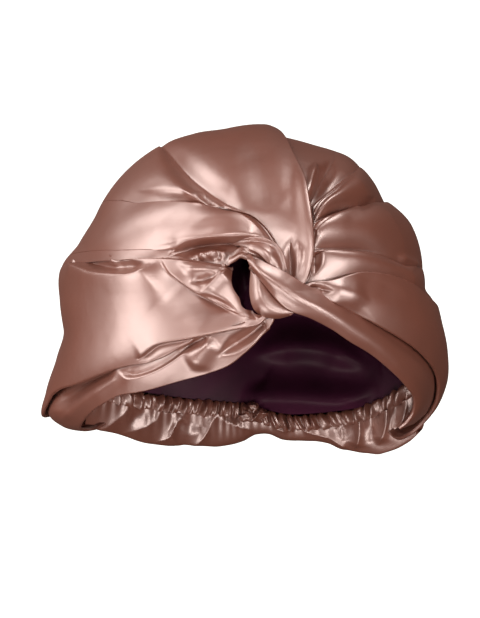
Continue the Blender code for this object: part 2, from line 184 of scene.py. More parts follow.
def smooth(table, at, column=1):
    """Value of a table's column at a place in its first column, joined by smooth cubics."""
    rows = np.array(table, float)
    x, y = rows[:, 0], rows[:, column]
    at = np.clip(np.asarray(at, float), x[0], x[-1])
    chord = np.diff(y) / np.diff(x)
    slope = np.empty(len(x))
    slope[0], slope[-1] = chord[0], chord[-1]
    both = chord[1:] * chord[:-1] > 0
    mean = 2 * chord[1:] * chord[:-1] / np.where(both, chord[1:] + chord[:-1], 1.0)
    slope[1:-1] = np.where(both, mean, 0.0)
    i = np.clip(np.searchsorted(x, at, side="right") - 1, 0, len(x) - 2)
    width = x[i + 1] - x[i]
    t = (at - x[i]) / width
    return ((2 * t**3 - 3 * t**2 + 1) * y[i] + (t**3 - 2 * t**2 + t) * width * slope[i]
            + (3 * t**2 - 2 * t**3) * y[i + 1] + (t**3 - t**2) * width * slope[i + 1])


def dome(turn, out, level):
    """Base form of the wrap: turn goes round the twist, out goes from the twist to the back.

    Radius = reach * half width * sin(out), depth = front or back depth * cos(out), and the
    level in millimetres stands out from both. On the front the reach is evened out over 20
    degrees, so that the cloth there is smooth."""
    turn, out, level = np.broadcast_arrays(turn, out, level)
    a, o = np.radians(turn), np.radians(out)
    across, along = np.sin(o), np.cos(o)
    even = sum(smooth(OUTLINE, turn + k) for k in (-10, -6, -2, 2, 6, 10)) / 6
    reach = even + (smooth(OUTLINE, turn) - even) * ease((out - 55) / 30)
    radius = reach * half_width * across + level * across
    depth = np.where(along < 0, back_depth, front_depth) + level
    return np.stack([twist_x + radius * np.cos(a), -depth * along,
                     twist_z + radius * np.sin(a)], -1)


def seen(points):
    """Where the camera sees points in millimetres, in steps of the picture from its top left."""
    scale = AWAY / (AWAY + points[..., 1]) / STEP
    return np.stack([WIDE / 2 + (points[..., 0] - EYE[0]) * scale,
                     HIGH / 2 - (points[..., 2] - EYE[1]) * scale], -1)


def spline(points, count):
    """Even run of places along a smooth curve through the points, by Catmull-Rom cubics."""
    p = np.array(points, float)
    p = np.concatenate([2 * p[:1] - p[1:2], p, 2 * p[-1:] - p[-2:-1]])
    at = np.linspace(0, len(p) - 3 - 1e-9, count)
    i = at.astype(int)
    t = (at - i)[:, None]
    a, b, c, d = p[i], p[i + 1], p[i + 2], p[i + 3]
    return 0.5 * (2 * b + (c - a) * t + (2 * a - 5 * b + 4 * c - d) * t**2
                  + (3 * b - a - 3 * c + d) * t**3)


def fold(view, line, height, left, right, sharp=2.0, fade=(0.4, 0.4), other=None):
    """Height in millimetres of a fold along a line drawn on the picture.

    It falls off as exp(-(distance / width) ** sharp) with a width on the left and one on the
    right of the line's direction, and its two ends fade and narrow over a share of its length.
    Where the right side has a height of its own, the cloth steps from the one to the other."""
    path = spline(line, 80)
    reach = 3.5 * max(left, right)
    near = ((view > path.min(0) - reach) & (view < path.max(0) + reach)).all(-1)
    spot = view[near]
    best = np.full(len(spot), 1e9)
    side, along = np.zeros_like(best), np.zeros_like(best)
    for k in range(len(path) - 1):
        run = path[k + 1] - path[k]
        t = np.clip(((spot - path[k]) @ run) / (run @ run), 0, 1)
        away = spot - path[k] - t[:, None] * run
        distance = np.hypot(away[:, 0], away[:, 1])
        closer = distance < best
        best = np.where(closer, distance, best)
        cross = (run[0] * away[:, 1] - run[1] * away[:, 0]) / np.hypot(*run)
        side = np.where(closer, cross, side)
        along = np.where(closer, (k + t) / (len(path) - 1), along)
    ends = np.clip((along + 1e-3) / (fade[0] + 1e-3), 0, 1)
    ends = ease(ends * np.clip((1.001 - along) / (fade[1] + 1e-3), 0, 1))
    over = 0.5 + 0.5 * np.tanh(side / 0.9)
    share = over if other is not None else side > 0
    width = (left + (right - left) * share) * (0.4 + 0.6 * ends)
    high = height if other is None else height + (other - height) * over
    rise = np.zeros(view.shape[:-1])
    rise[near] = high * ends * np.exp(-(best / width) ** sharp)
    return rise


def folds(view, table):
    """Height of several folds together. Each row of the table is a fold's line, its height and
    its width on the left and on the right, then its sharpness, its fades and the height on its
    right where they differ from the usual ones."""
    return sum(fold(view, *row) for row in table)


def on_front(out):
    """Share that fades the folds drawn on the picture where the wrap turns away from it."""
    return np.clip((94 - out) / 8, 0, 1)


def panel(edges, counts, bulges, first, rows=170, last=seam_out, thin=1.5,
          more=(0,) * 5, lean=(1,) * 5):
    """Turn, out and level of a panel that runs from edge to edge round the twist.

    A row of an edge is its out and turn in degrees, then the levels, in layers of cloth, in
    which the panel arrives at it and leaves it. A row of first is a share of the way across and
    the out where the panel starts there. Between two edges the cloth bulges by so many layers,
    by a share more near the twist, and with its crest moved to one side by the power in lean.
    At a pleat it doubles back in a half round fold that is as high as the step between the two
    levels. The last 4 degrees turn down onto the bag."""
    shares = np.linspace(0, 1, rows) ** 1.15
    turns, levels, all_outs = [], [], []
    for k, (count, bulge) in enumerate(zip(counts, bulges)):
        t = np.linspace(0, 1, count)[:, None]
        begin = smooth(first, (k + t) / len(counts))
        outs = begin + (last - begin) * shares
        start, end = smooth(edges[k], outs), smooth(edges[k + 1], outs)
        # room is the turn that 1 mm across the cloth takes here, with the sign of the way.
        room = np.degrees(1 / (smooth(OUTLINE, (start + end) / 2) * half_width
                               * np.sin(np.radians(outs)))) * np.sign(end - start)
        leave, arrive = smooth(edges[k], outs, 3) * layer, smooth(edges[k + 1], outs, 2) * layer
        if k:
            step = leave - smooth(edges[k], outs, 2) * layer
            start = start + np.clip(step / 2, -thin, thin) * room
        if k < len(counts) - 1:
            step = smooth(edges[k + 1], outs, 3) * layer - arrive
            end = end + np.clip(step / 2, -thin, thin) * room
        turns.append(start + (end - start) * t)
        rise = ease((outs - 9) / 36) * (1 + more[k] * np.clip((82 - outs) / 25, 0, 1) ** 2)
        rear = 1.5 * layer * np.clip((outs - last + 4) / 4, 0, 1) ** 2
        levels.append(leave + (arrive - leave) * t - rear
                      + bulge * layer * rise * np.sin(np.pi * t ** lean[k]))
        all_outs.append(outs)
        if k < len(counts) - 1:
            round_it = np.linspace(0, np.pi, 11)[1:-1, None]
            at, o, low = turns[-1][-1], outs[-1], levels[-1][-1]
            high = smooth(edges[k + 1], o, 3) * layer - rear[-1]
            turns.append(at - np.clip((high - low) / 2, -thin, thin) * np.sin(round_it) * room[-1])
            levels.append(low + (high - low) * (1 - np.cos(round_it)) / 2)
            all_outs.append(np.broadcast_to(o, levels[-1].shape))
    return np.concatenate(turns), np.concatenate(all_outs), np.concatenate(levels)


def past(points):
    """Last row of a grid, the way the cloth runs on past it, and the way out of the wrap."""
    edge, across = points[-1], unit(points[-1] - points[-3])
    normal = unit(np.cross(across, np.gradient(edge, axis=0)))
    normal *= np.sign((normal * (edge - inside)).sum(-1, keepdims=True))
    return edge, across, normal


def hem(points, radius, under, steps=9, down=4):
    """Folds the last row of a grid inwards round a half circle and back under by a length."""
    edge, across, normal = past(points)
    a = np.linspace(0, np.pi, steps)[1:, None, None]
    bend = edge + radius * (across * np.sin(a) - normal * (1 - np.cos(a)))
    back = bend[-1] - across * np.linspace(0, under, down + 1)[1:, None, None]
    return np.concatenate([points, bend, back])


def tuck(points, reach, drop, steps=8):
    """Carries the last row of a grid on under its neighbour: it dips by drop over the reach."""
    edge, across, normal = past(points)
    s = np.linspace(0, 1, steps + 1)[1:, None, None]
    return np.concatenate([points, edge + across * reach * s - normal * drop * ease(s * 2)])


def wavy(a, b, seed):
    """Soft uneven field between about -1 and 1: a sum of six sine waves at odd angles."""
    turn = seed * 2.4 + np.arange(6) * 1.9
    return sum(np.sin((a * np.cos(w) + b * np.sin(w)) * (0.7 + 0.27 * k) + w * 5.3)
               for k, w in enumerate(turn)) / 3.2


def satin(name, base, deep, weave, gloss):
    """Silk charmeuse: long floats of warp on the face, so light slides in broad soft bands.

    The threads lie 0.12 mm apart, too fine for the picture, so the floats are drawn 0.5 mm
    apart; slow unevenness of the cloth breaks the edge of each highlight."""
    paint = bpy.data.materials.new(name)
    paint.use_nodes = True
    tree = paint.node_tree
    shader = tree.nodes["Principled BSDF"]
    cloth = add(tree, "ShaderNodeUVMap", {"uv_map": "cloth"})
    floats = add(tree, "ShaderNodeMapping", {}, {"Vector": cloth.outputs["UV"]},
                 {"Scale": (2000.0, 260.0, 1.0)})
    grain = add(tree, "ShaderNodeTexNoise", {"noise_dimensions": "2D"},
                {"Vector": floats.outputs["Vector"]}, {"Scale": 1.0, "Detail": 2.0})
    place = add(tree, "ShaderNodeTexCoord")
    slow = add(tree, "ShaderNodeTexNoise", {}, {"Vector": place.outputs["Object"]},
               {"Scale": 38.0, "Detail": 3.0, "Roughness": 0.45})
    shade = add(tree, "ShaderNodeMix", {"data_type": "RGBA"}, {"Factor": slow.outputs["Fac"]})
    shade.inputs["A"].default_value = linear(deep)
    shade.inputs["B"].default_value = linear(base)
    tree.links.new(shade.outputs["Result"], shader.inputs["Base Color"])
    rough = add(tree, "ShaderNodeMapRange", {}, {"Value": grain.outputs["Fac"]},
                {"To Min": 0.37, "To Max": 0.43})
    tree.links.new(rough.outputs["Result"], shader.inputs["Roughness"])
    fine = add(tree, "ShaderNodeBump", {}, {"Height": grain.outputs["Fac"]},
               {"Strength": weave, "Distance": 0.0001})
    soft = add(tree, "ShaderNodeBump", {}, {"Height": slow.outputs["Fac"],
                                            "Normal": fine.outputs["Normal"]},
               {"Strength": 0.16, "Distance": 0.004})
    tree.links.new(soft.outputs["Normal"], shader.inputs["Normal"])
    shader.inputs["IOR"].default_value = 2.0
    shader.inputs["Specular IOR Level"].default_value = gloss
    shader.inputs["Specular Tint"].default_value = linear("#FFE8E0")
    return paint


rose_satin = satin("rose gold silk charmeuse", "#6B3727", "#5D3022", 0.10, 1.0)


def cloth(piece, paint, node, slot, rests=("lining",)):
    piece.data.materials.append(paint)
    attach(piece, "root")
    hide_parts(node)
    mesh = piece.data
    areas = np.empty(len(mesh.polygons))
    mesh.polygons.foreach_get("area", areas)


SEAM_LEFT = (
    (6, 178, -1.5, -0.5), (10, 160, -2, -1), (14, 151, -2, -1.2), (18, 155, -2, -1),
    (23, 158, -1.5, -0.5), (37, 164.5, -0.5, 0), (50, 168.5, 0, 0), (79, 172, 0, 0),
    (110, 174, 0, 0))
WING_LEFT_LOW = (
    (6, 258, -0.25, 0), (8.5, 250, 0, 0), (10.5, 239, 0, 0), (13, 227, 0, 0), (16.8, 216, 0, 0),
    (20, 212, 0, 0), (24, 210.3, 0, 0), (28, 210.6, 0, 0), (33, 209.2, 0, 0), (39, 206.8, 0, 0),
    (46, 205.5, 0, 0), (60, 204.9, 0.3, 0), (67, 204.3, 0.5, 0), (74, 204.6, 0.4, 0),
    (85, 208, 0, 0), (110, 210, 0, 0))
WING_LEFT_FOLDS = (
    (((66, 259), (76, 265.5), (85, 269), (101, 273), (122, 275), (136, 274), (146, 269),
     (157, 261)), 3.6, 4, 15, 1.5, (0.15, 0.2)),
    (((78, 260), (92, 264.5), (112, 266.5), (130, 265.5), (146, 262)), -4.2, 5, 5, 2.0,
     (0.3, 0.3)),
    (((110, 256), (112, 262), (116, 267)), 1.2, 4, 4),
    (((158, 254), (166, 270), (176, 280), (188, 289), (200, 296.5), (212, 303), (230, 311),
     (254, 318.5)), 1.6, 18, 24, 1.5, (0.35, 0.3), -6.0),
    (((192, 292), (204, 297), (216, 301), (228, 307), (238, 313)), -3.6, 3.5, 6, 2.0),
    (((229, 264), (234, 275), (240, 288), (247, 302), (259, 320)), 5.5, 13, 4, 1.5, (0.1, 0.1),
     -4),
    (((228, 268), (218, 276), (209, 285.5), (199, 296)), 3.4, 7, 7, 1.5, (0.2, 0.4), 1.6),
    (((176, 262), (192, 268), (208, 269), (224, 268)), 2.6, 6, 7, 2.0),
    (((220, 274), (206, 279), (190, 283)), -2.4, 4, 4),
    (((136, 361), (146, 353), (153, 347.5), (162, 343.8), (185, 340), (210, 335), (235, 330),
     (264, 325)), 2.0, 10, 6, 1.5, (0.12, 0.1), -2.8))
turn, out, level = panel((SEAM_LEFT, WING_LEFT_LOW), (190,), (1.75,),
                         ((0, 13), (0.35, 7.4), (0.6, 6.7), (1, 6.7)), 200)
inset = np.degrees(seam_gap / (half_width * np.sin(np.radians(out))))
turn = turn + inset * np.linspace(1, 0, 190)[:, None]
view = seen(dome(turn, out, level))
level = level + on_front(out) * folds(view, WING_LEFT_FOLDS)
wing = tuck(dome(turn, out, level)[::-1], 3.0, 1.3)[::-1]
wing_left = grid_mesh("wing_left_satin", hem(wing, 1.1, 3))
cloth(wing_left, rose_satin, "wing_left", "rose_satin")


# ---- Left rim ----
# The folded band under the wing that makes the left edge of the front opening, doubled satin
# with a rolled lower edge.
RIM_TOP = (
    (6, 240, -1.4, -1.5), (10, 230, -1.6, -1.6), (18, 206, -1.7, -1.7), (27, 203, -1.5, -1.5),
    (41, 202, -1.5, -1.5), (58, 201.6, -2.6, -2.6), (67, 201.6, -3.1, -3.1), (85, 205, -2.7, -2.7),
    (110, 207, -2.7, -2.7))
OPENING_LEFT = (
    (6, 276, -1.3, -1.5), (8, 272, -1.4, -1.4), (12, 255, -1.5, -1.5), (18, 246, -1.5, -1.5),
    (23, 240, -1.3, -1.3), (28, 232, -1.1, -1.1), (34, 223.2, -0.8, -0.8), (40, 218.2, -0.7, -0.7),
    (48, 213.8, -0.7, -0.7), (57, 213.4, -0.7, -0.7), (70, 214.8, -1.1, -1.1),
    (85, 217, -1.5, -1.5), (110, 221, -2, -2))
RIM_FOLDS = (
    (((117, 370), (128, 376.5), (138, 376), (154, 370.5), (170, 361.5), (185, 351), (206, 338)),
     -1.9, 6, 9, 1.5, (0.2, 0.2), 1.1),
    (((176, 353), (192, 344), (208, 337)), -3.6, 4, 5, 2.0, (0.4, 0.2)),
    (((212, 336), (203, 352), (192, 372)), 3.0, 12, 12, 2.0, (0.3, 0.3)),
    (((216, 357), (234, 346), (250, 336), (266, 323)), -5.0, 7, 5, 2.0, (0.4, 0.1)),
    (((52, 410), (68, 397), (86, 385), (106, 374), (118, 371)), -3.8, 6, 8, 2.0, (0.2, 0.4)),
    (((60, 422), (78, 404), (98, 388), (120, 379)), 1.6, 6, 8, 2.0, (0.2, 0.4)))
turn, out, level = panel((RIM_TOP, OPENING_LEFT), (80,), (0.25,), ((0, 8), (1, 7)), 190, 97)
view = seen(dome(turn, out, level))
# The rim lies flat under the wing and takes its folds only below the wing's edge.
front = on_front(out) * np.clip((turn - smooth(WING_LEFT_LOW, out)) / 2 + 0.4, 0, 1)
level = level + front * folds(view, RIM_FOLDS)
rim_left = grid_mesh("rim_left_satin", hem(dome(turn, out, level), 1.0, 3))
cloth(rim_left, rose_satin, "rim_left", "rose_satin")


# ---- Left crown ----
# The upper left of the crown, silk charmeuse with two pleats that run into the twist, the
# lower one over a dark tuck above the seam.
CREASE_A = (
    (15, 80, 0, 0.5), (17, 86, 0, 0.5), (21, 94, 0, 0.5), (25, 103.5, 0, 0.3), (30, 116, 0, 0),
    (36, 121.5, 0, 0), (42, 124, 0, 0), (50, 126, 0, 0), (63, 126.5, 0, 0), (110, 127, 0, 0))
PLEAT_B = (
    (15, 82, 0.5, 0.6), (17, 88, 0.5, 0.8), (21, 97, 0.4, 1), (25, 106, 0, 1.1),
    (28, 118, -0.5, 1.25), (32, 125, -0.6, 1.1), (38, 133, -0.5, 1), (46, 140.5, 0, 0.75),
    (57, 147, 0.3, 0.4), (80, 151, 0, 0), (110, 152, 0, 0))
HOLLOW_TOP = (
    (15, 96, 0.5, -2.5), (16.5, 104, 0.5, -2.5), (17.6, 113, 0.6, -2.5), (18.4, 124, 0.8, -2.5),
    (20.5, 133, 1, -2.5), (24, 142, 1, -2.5), (28, 150, 0.9, -2.2), (31, 156.5, 0.5, -1.0),
    (37, 160.5, 0, 0), (50, 165, 0, 0), (80, 169, 0, 0), (110, 171, 0, 0))
HOLLOW_FOOT = (
    (14, 146, -2.5, 0), (18, 152, -2.5, 0), (22, 156, -2.25, 0), (27, 160, -1.5, 0),
    (37, 164.5, -0.5, 0), (50, 168.5, 0, 0), (79, 172, 0, 0), (110, 174, 0, 0))
CROWN_LEFT_FOLDS = (
    (((158, 143), (169, 155), (185, 174), (201, 187), (216, 199), (232, 212)), -3.0, 3, 6, 1.6,
     (0.25, 0.2)),
    (((132, 190), (160, 191), (188, 194), (214, 203)), 1.2, 7, 5),
    (((196, 190), (205, 197.5), (217, 205)), -3.2, 4, 4.5),
    (((180, 189), (196, 199), (212, 207)), 1.4, 3, 3),
    (((150, 246), (180, 240), (210, 236), (240, 234), (262, 236)), 1.2, 8, 4),
    (((168, 257), (178, 250), (190, 245.5), (207, 242.3), (237, 240), (262, 239.5)), 2.4, 9, 8,
     1.6, (0.3, 0.1), -3.4),
    (((193, 252), (202, 254), (214, 252), (228, 253)), 2.8, 4, 6),
    (((217, 247), (213, 254), (212, 262)), 1.4, 4, 3),
    (((226, 247), (224, 254), (226, 262)), 1.2, 3, 3),
    (((206, 250), (203, 256), (202, 262)), 1.1, 3, 3),
    (((196, 252), (194, 257), (194, 262)), 0.9, 2.5, 2.5),
    (((219, 249), (219, 256), (220, 262)), -1.2, 2, 2))
turn, out, level = panel((CREASE_A, PLEAT_B, HOLLOW_TOP, HOLLOW_FOOT), (64, 76, 56),
                         (0, 0, 0), ((0, 15), (1, 15)), 200)
# Near the twist it has two full folds, which merge into one wide one further back.
humps = []
for top_edge, low_edge in ((CREASE_A, PLEAT_B), (PLEAT_B, HOLLOW_TOP), (PLEAT_B, HOLLOW_FOOT),
                           (CREASE_A, HOLLOW_FOOT)):
    top, low = smooth(top_edge, out), smooth(low_edge, out)
    humps.append(np.sin(np.pi * np.clip((turn - top) / (low - top), 0, 1)))
near, far = ease((out - 28) / 9), ease((out - 48) / 22)
rise = np.clip((out - 9) / 30, 0, 1)
level = level + layer * rise * (
    (1 - far) * (1.7 * humps[0] + 1.9 * ((1 - near) * humps[1] + near * humps[2]))
    + far * 1.5 * humps[3])
view = seen(dome(turn, out, level))
level = level + on_front(out) * folds(view, CROWN_LEFT_FOLDS)
crown = hem(dome(turn, out, level)[::-1], 0.7, 4)[::-1]
crown_left = grid_mesh("crown_left_satin", hem(crown, 0.6, 3))
cloth(crown_left, rose_satin, "crown_left", "rose_satin")


# ---- Crossing panel ----
# The broad strap of doubled satin that comes down from the crown's top, lies over the right
# crown with a soft folded edge and dives under the twist.
CROSS_LEFT = (
    (9, 62, -0.9, -0.9), (12, 70, -1, -1), (15, 80, -1, -1), (18, 88, -1, -1),
    (21, 97, -0.9, -0.9), (24, 104, -0.9, -0.9), (30, 120, -0.9, -0.9), (36, 125, -0.9, -0.9),
    (42, 127.5, -0.9, -0.9), (63, 129, -0.8, -0.8), (90, 128.4, -0.8, -0.8),
    (110, 127.6, -0.8, -0.8))
CROSS_RIGHT = (
    (9, 12, -0.5, 0), (11, 17, -0.2, 0), (14, 30, 0.5, 0), (18, 40, 1.1, 0), (22, 52, 1.5, 0),
    (26, 60, 1.7, 0), (34, 69, 1.8, 0), (44, 75, 1.8, 0), (58, 82, 1.7, 0), (76, 86, 1.5, 0),
    (92, 89, 1.2, 0), (110, 90, 1.1, 0))
CROSS_FOLDS = (
    (((160, 143), (172, 156), (188, 174), (204, 187), (222, 199), (245, 212)), -3.0, 10, 4, 1.6,
     (0.25, 0.2)),
    (((244, 130), (258, 160), (266, 190), (272, 214)), -2.0, 16, 22, 2.0, (0.3, 0.3)),
    (((292, 150), (303, 180), (308, 210), (311, 240), (309, 262), (303, 282)), 3.2, 5, 10, 2.0,
     (0.3, 0.0)),
    (((292, 236), (290.5, 248), (291.5, 262), (292, 280)), -3.4, 1.8, 6.0, 1.4, (0.6, 0.1)),
    (((298, 240), (298, 256), (296, 276)), 1.6, 4, 4))
turn, out, level = panel((CROSS_LEFT, CROSS_RIGHT), (130,), (0.75,), ((0, 7), (1, 7)), 195)
view = seen(dome(turn, out, level))
level = level + on_front(out) * folds(view, CROSS_FOLDS)
crossing = grid_mesh("crossing_panel_satin", hem(dome(turn, out, level), 1.1, 3))
cloth(crossing, rose_satin, "crossing_panel", "rose_satin")


# ---- Right crown ----
# The fan of pleats from the twist over the upper right of the crown, each lying over the one
# above it, pressed in the same satin.
CROWN_TUCK = (
    (13, 24, 0, -1.3), (18, 44, 0, -0.8), (22, 58, 0, -0.5), (26, 67, 0, -0.3), (34, 74, 0, -0.2),
    (44, 80, 0, -0.2), (58, 86, 0, -0.3), (76, 89.5, 0, -0.4), (110, 93, 0, -0.5))
VALLEY = (
    (13, 22, -1.3, -1.3), (20, 50, -1, -1), (26, 63, -1.5, -1.5), (36, 65.5, -2.25, -2.25),
    (50, 65, -2, -2), (63, 64, -1.25, -1.25), (85, 64, 0, 0), (110, 64, 0, 0))
PLEAT_2 = (
    (13, 20, -1.3, -1.3), (22, 53, -1, -0.75), (28, 61, -1, 0.25), (34, 62, -1, 0.6),
    (45, 58, -0.75, 0.75), (62, 55, 0, 0.5), (85, 54, 0, 0), (110, 54, 0, 0))
PLEAT_3 = (
    (13, 18, -1.3, -1.3), (20, 43, -0.8, -0.5), (27, 56, -0.8, 0.6), (34, 53, -0.75, 0.8),
    (51, 44, -0.75, 0.9), (69, 38.5, -1, 0.8), (90, 37, -0.5, 0.25), (110, 37, 0, 0))
PLEAT_4 = (
    (13, 15, -1.3, -1.3), (21, 39, -0.8, -0.3), (29, 31, -0.75, 0.2), (39, 22, -0.7, 0.3),
    (48, 15.5, -0.5, 0.5), (57, 11, -0.25, 0.5), (80, 9, 0, 0), (110, 8, 0, 0))
CROWN_FOOT = (
    (13, 10, -1.45, 0), (19, 5, -1.1, 0), (30, 6, -1, 0), (45, 3, -0.95, 0), (58, -1.5, -0.9, 0),
    (74, -7, -0.85, 0), (110, -10, -0.85, 0))
CROWN_RIGHT_FOLDS = (
    (((316, 160), (313, 178), (307, 206)), 3.0, 5, 5),
    (((334, 158), (323, 178), (313, 200)), -3.4, 7, 7),
    (((308, 209), (325, 195), (340, 183), (357, 170)), -3.2, 9, 10, 1.5, (0.05, 0.5), 2.2),
    (((310, 225), (328, 216), (345, 210), (364, 205)), -3.4, 10, 11, 1.5, (0.05, 0.5), 2.0),
    (((356, 206), (366, 203), (376, 196)), -2.4, 4, 4),
    (((311, 249), (340, 249.5), (368, 252), (393, 259)), -2.8, 11, 10, 1.5, (0.05, 0.5), 1.4),
    (((396, 255), (410, 262), (420, 266)), 1.8, 4, 6, 2.0, (0.3, 0.3)),
    (((314, 244), (317, 258), (314, 276)), -4.0, 4, 5))
turn, out, level = panel((CROWN_TUCK, VALLEY, PLEAT_2, PLEAT_3, PLEAT_4, CROWN_FOOT),
                         (36, 30, 44, 44, 44), (0.2, 0.12, 0.75, 0.75, 0.75),
                         ((0, 11), (1, 11)), 195, more=(2, 2, 2.2, 2.2, 1.6),
                         lean=(1, 1, 0.7, 0.7, 0.8))
view = seen(dome(turn, out, level))
# It lies flat under the crossing panel too.
front = on_front(out) * np.clip((smooth(CROSS_RIGHT, out) - turn) / 3, 0, 1)
level = level + front * folds(view, CROWN_RIGHT_FOLDS)
crown_right = grid_mesh("crown_right_satin", dome(turn, out, level))
cloth(crown_right, rose_satin, "crown_right", "rose_satin")


# ---- Right wing ----
# The panel over the viewer's right side, from the twist to the back seam, with a rolled upper
# edge over the crown and a folded lower edge over the strap.
WING_RIGHT_TOP = (
    (15, 11, 0, 0.6), (19, 10, 0, 0.9), (30, 11.5, 0, 1.2), (45, 7.5, 0, 1.3), (58, 2.5, 0, 1.3),
    (74, -3.5, 0, 1.2), (90, -6, 0, 1), (110, -7, 0, 1))
WING_RIGHT_LOW = (
    (15, 4, 0.6, 0), (17, -6, 0.9, 0), (24, -12.5, 1.2, 0), (32, -16, 1.2, 0), (44, -19, 1.3, 0),
    (51, -20.5, 1.3, 0), (62, -23.5, 1.2, 0), (69, -26, 1.1, 0), (78, -32, 1, 0),
    (85, -38.5, 0.5, 0), (91, -45, 0, 0), (98, -48, -0.2, 0), (110, -49, -0.3, 0))
WING_RIGHT_FOLDS = (
    (((306, 289), (318, 288), (334, 292)), -2.6, 3, 4),
    (((322, 284), (346, 291), (372, 303)), 2.4, 9, 13),
    (((352, 275), (380, 284), (410, 300)), -1.6, 8, 12),
    (((330, 303), (352, 312), (378, 326)), -1.5, 6, 6))
turn, out, level = panel((WING_RIGHT_TOP, WING_RIGHT_LOW), (110,), (1.25,),
                         ((0, 11), (1, 13)), 175)
view = seen(dome(turn, out, level))
level = level + on_front(out) * folds(view, WING_RIGHT_FOLDS)
wing = hem(dome(turn, out, level)[::-1], 1.1, 3)[::-1]
wing_right = grid_mesh("wing_right_satin", hem(wing, 1.1, 3))
cloth(wing_right, rose_satin, "wing_right", "rose_satin")


# ---- Twist ----
# The crossed knot on the front: a rolled strap that starts over the twist and runs down the
# right edge of the opening, an arched loop above it and a small rounded fold below it. It is
# the same satin pulled tight, so that its edges roll into thin bright lines.
STRAP = (
    (247, 259.4, 248, 262, 3.0, 3.0, 3.0, 3.0, 3.0, 3.0),
    (257.5, 259.7, 251.8, 269.5, 4.0, 5.0, 5.8, 6.0, 5.2, 3.0),
    (267, 263.6, 259, 278.5, 4.4, 6.0, 7.2, 7.8, 7.0, 3.6),
    (280.5, 269.8, 268, 289, 4.2, 6.2, 7.6, 8.2, 6.8, 3.6),
    (294, 277.8, 279, 301, 3.4, 6.0, 7.8, 7.8, 5.4, 3.8),
    (308, 286, 292, 310.6, 2.0, 5.0, 7.4, 7.6, 5.0, 3.8),
    (325, 291, 311, 318, -0.5, 2.8, 5.8, 7.0, 5.4, 2.6),
    (346, 299, 331, 328.4, -2.0, 0.6, 3.6, 5.6, 4.8, 1.4),
    (368, 310, 350, 341, -2.5, -1.0, 1.8, 4.0, 3.8, 0.8),
    (389, 322, 373, 355, -2.5, -1.5, 0.8, 3.0, 3.2, 0.4),
    (409, 337, 396, 374.5, -2.8, -2.0, 0.0, 2.0, 2.6, 0.2),
    (431, 352, 410, 389.5, -8.0, -4.0, -0.4, 1.4, 2.0, -0.2),
    (440, 372, 415.5, 399, -10.0, -6.0, -1.6, 0.4, 1.0, -0.8),
    (437, 394, 415, 411, -10.0, -7.0, -3.4, -1.2, -0.4, -1.6),
    (427, 412, 409.5, 421, -10.5, -8.4, -5.4, -3.4, -2.2, -2.8),
    (414, 424, 401, 429, -11.0, -9.8, -8.0, -6.4, -5.0, -4.6))
LOOP = (
    (228, 241, 228, 243.5, -10.0, -10.0, -10.0, -10.0, -10.0),
    (238, 239.8, 238, 245, -3.0, -3.4, -3.8, -3.8, -4.2),
    (250, 238.3, 249, 248.5, 2.2, 0.8, 1.2, 1.4, 1.0),
    (260, 238.4, 257, 252.5, 3.2, 1.4, 3.2, 3.4, 2.4),
    (269, 240.6, 263, 257.5, 3.4, 2.2, 4.4, 4.4, 3.2),
    (276, 244.8, 267.5, 262, 3.2, 2.4, 4.2, 4.2, 3.2),
    (281, 251, 271.5, 267, 2.6, 1.6, 3.0, 3.2, 2.4),
    (284, 259, 275, 273.5, 2.0, 1.0, 2.0, 2.2, 1.4),
    (286, 270, 279, 280, 1.2, 0.5, 0.8, 0.8, 0.2))
THROAT = (
    (229, 258, 228, 265, -1.4, -1.6, -1.8, -2.0, -2.6),
    (235, 251, 235, 261.5, -1.2, -1.0, -0.4, -0.2, -1.8),
    (242, 247, 240.5, 258, -0.4, 0.0, 1.0, 1.6, -0.2),
    (250, 249.5, 246, 259.6, 0.8, 0.0, 0.4, 0.8, -0.8),
    (257, 252.5, 253, 260.5, 1.4, 0.2, 0.2, 0.4, -1.2),
    (263, 257, 259, 263, 1.6, 0.4, 0.2, 0.2, -1.4),
    (267, 262, 265, 267, 1.6, 0.4, 0.0, -0.4, -1.6),
    (271, 267, 270, 272, 1.4, 0.2, -0.4, -0.8, -2.0))
PETAL = (
    (255, 262, 250.5, 265, -0.6, -0.6, -0.6, -0.8, -1.2, -2.0),
    (259, 268, 250.6, 272, -0.4, 0.4, 0.6, 0.2, -0.2, -1.2),
    (265, 276, 249.8, 283, -0.4, 1.4, 2.4, 2.2, 1.0, -0.8),
    (271, 285, 249.8, 295, -0.4, 1.8, 3.4, 3.8, 2.4, -0.4),
    (277, 293, 253, 307, -0.4, 1.8, 3.6, 4.2, 3.0, 0.0),
    (283, 299, 259.5, 314.5, -0.4, 1.6, 3.2, 3.8, 2.8, 0.2),
    (288, 303, 268, 317.8, 0.0, 1.4, 2.6, 3.0, 2.2, -0.2),
    (292, 306, 279, 318.5, 0.0, 1.2, 2.0, 2.2, 1.4, -0.4),
    (297, 310, 291, 315.5, 0.0, 0.8, 1.2, 1.2, 0.8, -0.6))


def behind(view, height):
    """Point over the front of the base form that the camera sees at a place of the picture."""
    y = np.full(height.shape, -front_depth)
    for _ in range(8):
        scale = STEP * (AWAY + y) / AWAY
        x = EYE[0] - twist_x + (view[..., 0] - WIDE / 2) * scale
        z = EYE[1] - twist_z + (HIGH / 2 - view[..., 1]) * scale
        turn = np.degrees(np.arctan2(z, x))
        turn = np.maximum(np.where(turn < -90, np.minimum(turn + 360, 235), turn), -62)
        share = np.hypot(x, z) / (smooth(OUTLINE, turn) * half_width)
        y = -height - front_depth * np.sqrt(1 - np.clip(share, 0, 0.99) ** 2)
    return np.stack([twist_x + x, y, twist_z + z], -1)


